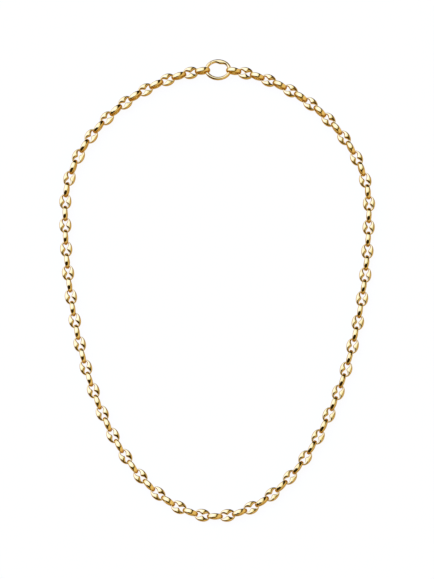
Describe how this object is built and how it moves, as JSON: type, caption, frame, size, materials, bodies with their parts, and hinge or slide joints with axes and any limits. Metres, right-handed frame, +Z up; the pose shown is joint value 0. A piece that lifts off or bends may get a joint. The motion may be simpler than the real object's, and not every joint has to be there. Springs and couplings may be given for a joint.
{
  "type": "mariner link chain necklace",
  "caption": "Closed necklace of puffed mariner links, lying flat, with an oval clasp ring whose upper arc swings open.",
  "frame": {"origin": "middle of the necklace's box on the surface that it lies on", "axes": "+Y along the loop's length towards the clasp ring, +Z up from the surface"},
  "size_m": [0.1198, 0.1786, 0.0046],
  "materials": {
    "polished_gold": "mirror-polished yellow gold, puffed links",
    "ring_gold": "mirror-polished yellow gold wire"
  },
  "bodies": {
    "necklace": {"chain_left": "polished_gold", "chain_right": "polished_gold", "clasp_frame": "ring_gold", "clasp_pin": "ring_gold"},
    "gate": {"clasp_gate": "ring_gold"}
  },
  "joints": [
    {"name": "gate_hinge", "type": "hinge", "parent": "necklace", "child": "gate", "pos_m": [-0.00279, 0.08762, 0.0023], "axis": [0, 0, 1], "range_deg": [0, 35]}
  ]
}
